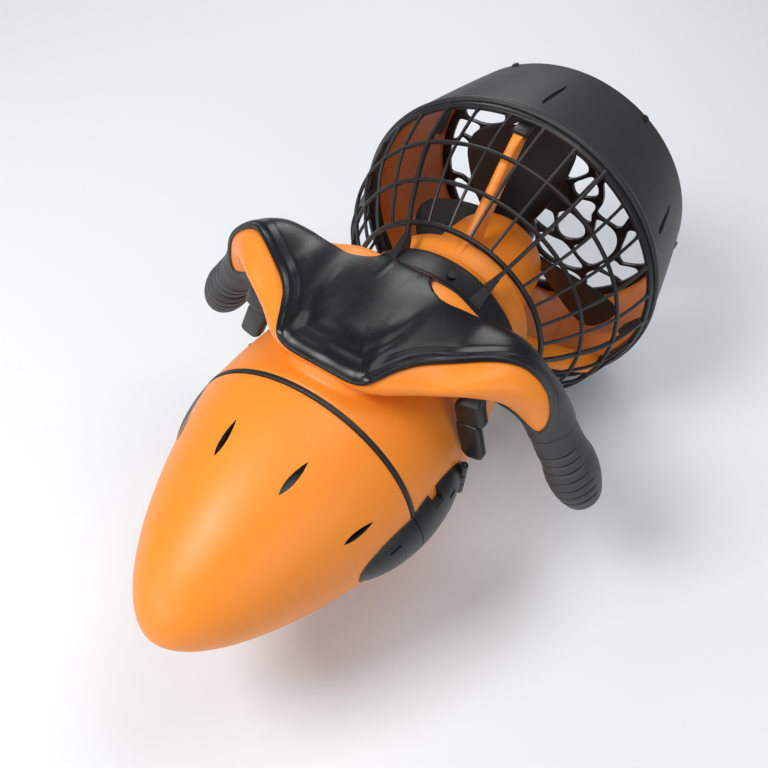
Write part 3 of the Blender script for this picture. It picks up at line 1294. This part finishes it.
def hinge_barrel(side, z0, z1):
    profile = fillet([(z0, HINGE_BORE), (z0, HINGE_RADIUS, 0.5), (z1, HINGE_RADIUS, 0.5),
                      (z1, HINGE_BORE)], 3)
    a = circle(28)
    rings = [np.stack([side * HINGE_X + r * np.cos(a), HINGE_Y + r * np.sin(a),
                       np.full(28, z)], -1) for z, r in profile]
    return np.concatenate(rings), quads(len(profile), 28, True, True)


def build_latch(side, label):
    front_window = box(84, 110, -331.0, -322.0, 15.2, 17.6, tilt=14)
    arm_window = box(98.0, 110, -268.0, -259.0, 12.5, 14.8, tilt=-10)
    notch = box(90, 120, -284.5, -274.5, 19.5, 40)
    hinge_gap = box(89.0, 120, -246.0, -236.0, -1.0, 9.0)
    build_latch_part("latch_front_" + label, side, -351.5, -304.7, ("latch_keeper_" + label,),
                     "nose", [front_window])
    build_latch_part("latch_arm_" + label, side, -303.9, -241.6, ("latch_lever_" + label,),
                     "latch_" + label, [arm_window, notch, hinge_gap])
    build_latch_part("latch_root_" + label, side, -240.2, -216.0, ("latch_hinge_" + label,),
                     "hull")
    knuckles = [hinge_barrel(side, -12.0, -1.2), hinge_barrel(side, 9.2, 20.0)]
    solid("latch_knuckles_" + label, joined(knuckles), TRIM, 40, body="latch_" + label)
    solid("latch_lug_" + label, hinge_barrel(side, -0.5, 8.5), TRIM, 40)


# ------------------------------------------------------------------ triggers
# a tilted frame: u mostly outward, v mostly downward, and y as everywhere
TRIGGER_ORIGIN = np.array([90.5, 0.0, 77.0])
TRIGGER_TILT = math.radians(17.0)
TRIGGER_U = np.array([math.cos(TRIGGER_TILT), 0.0, math.sin(TRIGGER_TILT)])
TRIGGER_V = np.array([math.sin(TRIGGER_TILT), 0.0, -math.cos(TRIGGER_TILT)])
# v, centre u, centre y, half size along u, half size along y
HOUSING = np.array([
    (-20.0, 3.0, -227.0, 5.2, 5.2), (-13.0, 2.9, -227.6, 5.6, 5.4),
    (-10.0, 2.6, -228.4, 5.9, 5.5), (-7.0, 0.4, -231.4, 8.0, 5.5),
    (-4.0, -1.4, -233.9, 10.0, 5.5), (0.5, -2.6, -234.9, 11.2, 5.5),
    (6.0, -2.8, -235.0, 11.3, 5.5), (14.4, -2.8, -235.0, 11.3, 5.5)])
# (u, v, corner radius)
PADDLE = [(-5.0, 15.0, 0.8), (-14.3, 15.4, 2.0), (-13.6, 42.0, 5.0), (-10.0, 48.2, 5.5),
          (3.6, 48.2, 5.0), (3.6, 18.6, 1.5), (2.0, 15.6, 0.8)]
# y, inset of the outline: soft edges front and back
PADDLE_LAYERS = ((-240.2, 1.5), (-240.0, 0.9), (-239.5, 0.35), (-238.7, 0.0), (-233.9, 0.0),
                 (-233.1, 0.35), (-232.6, 0.9), (-232.4, 1.5))
PIVOT_RADIUS = 5.1


def trigger_points(u, v, y):
    """One outline in the trigger frame; u, v and y may be arrays or single values."""
    u, v, y = np.broadcast_arrays(u, v, y)
    return (TRIGGER_ORIGIN + np.outer(u, TRIGGER_U) + np.outer(v, TRIGGER_V)
            + np.outer(y, (0, 1, 0)))


def trigger_block(u0, u1, v0, v1, y0, y1):
    ends = [trigger_points([u0, u1, u1, u0], [v0, v0, v1, v1], y) for y in (y0, y1)]
    return np.concatenate(ends), prism_faces(4)


def build_housing(side, label):
    a = circle(56)
    u, w = signed_power(np.cos(a), 0.55), signed_power(np.sin(a), 0.55)
    rings = []
    for v in np.concatenate([np.linspace(-20, -10, 4), np.linspace(-9, 12.6, 18),
                             [13.4, 13.9, 14.2, 14.4]]):
        centre_u, centre_y, half_u, half_y = table_at(HOUSING, v)[0]
        shrink = 0.9 * max(0.0, (v - 13.0) / 1.4) ** 2
        rings.append(trigger_points(centre_u + (half_u - shrink) * u, v,
                                    centre_y + (half_y - shrink) * w))
    housing = mesh_object("trigger_housing_" + label, mirror(loft(rings), side), TRIM,
                          sub=("trigger_bracket_" + label,))
    outward(housing)
    slot = trigger_block(-5.5, 6.2, -5.2, 20.0, -237.3, -231.3)
    carve(housing, [mirror(slot, side)])
    crisp(housing, 40)


def build_paddle(side, label):
    outline = refine(fillet(PADDLE, 6), 1.6)
    along = np.roll(outline, -1, 0) - np.roll(outline, 1, 0)
    out = np.stack([-along[:, 1], along[:, 0]], 1)
    out /= np.linalg.norm(out, axis=1)[:, None]
    layers = [trigger_points(*(outline - out * inset).T, y) for y, inset in PADDLE_LAYERS]
    neck = trigger_block(-4.8, 2.4, 0.0, 17.5, -236.9, -232.7)
    a = circle(40)
    pivot = [trigger_points(PIVOT_RADIUS * np.cos(a), PIVOT_RADIUS * np.sin(a), y)
             for y in (-236.9, -231.7)]
    paddle = joined([loft(layers), neck, loft(pivot)])
    solid("trigger_paddle_" + label, mirror(paddle, side), TRIM, 40, body="trigger_" + label,
          sub=("trigger_" + label,))


# ------------------------------------------------------------------ stage, light and camera
FLOOR_HALF, FLOOR_Z = 6, -0.1475
CAMERA_AZIMUTH, CAMERA_HEIGHT, CAMERA_ROLL = (math.radians(a) for a in (27.99, 50.21, 6.51))
CAMERA_PLACE = (0.2322, -0.7440, 0.5934)


def build_floor():
    mesh = bpy.data.meshes.new("floor")
    corners = [(x * FLOOR_HALF, y * FLOOR_HALF, FLOOR_Z)
               for x, y in ((-1, -1), (1, -1), (1, 1), (-1, 1))]
    mesh.from_pydata(corners, [], [(0, 1, 2, 3)])
    floor = bpy.data.objects.new("floor", mesh)
    bpy.context.scene.collection.objects.link(floor)
    mat, _, shader = new_material("floor")
    shader.inputs["Base Color"].default_value = rgba((0.80, 0.82, 0.84))
    shader.inputs["Roughness"].default_value = 0.9
    mesh.materials.append(mat)


def build_world():
    world = bpy.data.worlds.new("studio")
    bpy.context.scene.world = world
    world.use_nodes = True
    background = world.node_tree.nodes["Background"]
    background.inputs["Color"].default_value = (0.86, 0.92, 1.0, 1)
    background.inputs["Strength"].default_value = 0.24


def area_light(name, place, target, size, energy, color=(1, 1, 1), size_y=None):
    light = bpy.data.lights.new(name, "AREA")
    light.energy = energy
    light.color = color
    light.size = size
    if size_y:
        light.shape = "RECTANGLE"
        light.size_y = size_y
    obj = bpy.data.objects.new(name, light)
    bpy.context.scene.collection.objects.link(obj)
    obj.location = place
    aim = Vector(target) - Vector(place)
    obj.rotation_euler = aim.to_track_quat("-Z", "Y").to_euler()


def build_lights():
    area_light("key", place=(-0.55, -1.15, 1.35), target=(0, -0.3, 0.03), size=0.6, energy=19)
    area_light("top", place=(0.25, 0.15, 1.5), target=(0, -0.25, 0.05), size=0.9, energy=8)
    area_light("fill", place=(1.3, -0.9, 0.7), target=(0, -0.3, 0), size=0.9, energy=5,
               color=(0.92, 0.96, 1.0))
    area_light("back", place=(-0.7, 0.9, 0.8), target=(0, -0.1, 0.05), size=0.6, energy=5)
    area_light("front_strip", place=(-0.45, -1.75, 0.42), target=(0, -0.3, 0.1), size=1.6,
               energy=7, size_y=0.22)


def build_camera():
    level = math.cos(CAMERA_HEIGHT)
    back = Vector((math.sin(CAMERA_AZIMUTH) * level, -math.cos(CAMERA_AZIMUTH) * level,
                   math.sin(CAMERA_HEIGHT)))
    right = Vector((math.cos(CAMERA_AZIMUTH), math.sin(CAMERA_AZIMUTH), 0))
    up = back.cross(right)
    rolled_right = right * math.cos(CAMERA_ROLL) + up * math.sin(CAMERA_ROLL)
    rolled_up = -right * math.sin(CAMERA_ROLL) + up * math.cos(CAMERA_ROLL)
    data = bpy.data.cameras.new("camera")
    data.sensor_width = 36.0
    data.lens = 45.95
    data.clip_start = 0.02
    data.clip_end = 50
    camera = bpy.data.objects.new("camera", data)
    bpy.context.scene.collection.objects.link(camera)
    rows = list(zip(rolled_right, rolled_up, back, CAMERA_PLACE))
    camera.matrix_world = Matrix(rows + [(0, 0, 0, 1)])
    bpy.context.scene.camera = camera
    bpy.context.scene.view_settings.view_transform = "Standard"


# ------------------------------------------------------------------ build
dress_cad_pieces()
build_nose()
build_seal()
build_hull()
build_handlebar()
build_cover()
for side, label in SIDES:
    build_grip(side, label)
build_tail_pod()
build_liner()
build_duct_ring()
build_front_guard()
build_rear_guard()
build_propeller()
for side, label in SIDES:
    build_latch(side, label)
for side, label in SIDES:
    build_housing(side, label)
    build_paddle(side, label)
build_floor()
build_world()
build_lights()
build_camera()
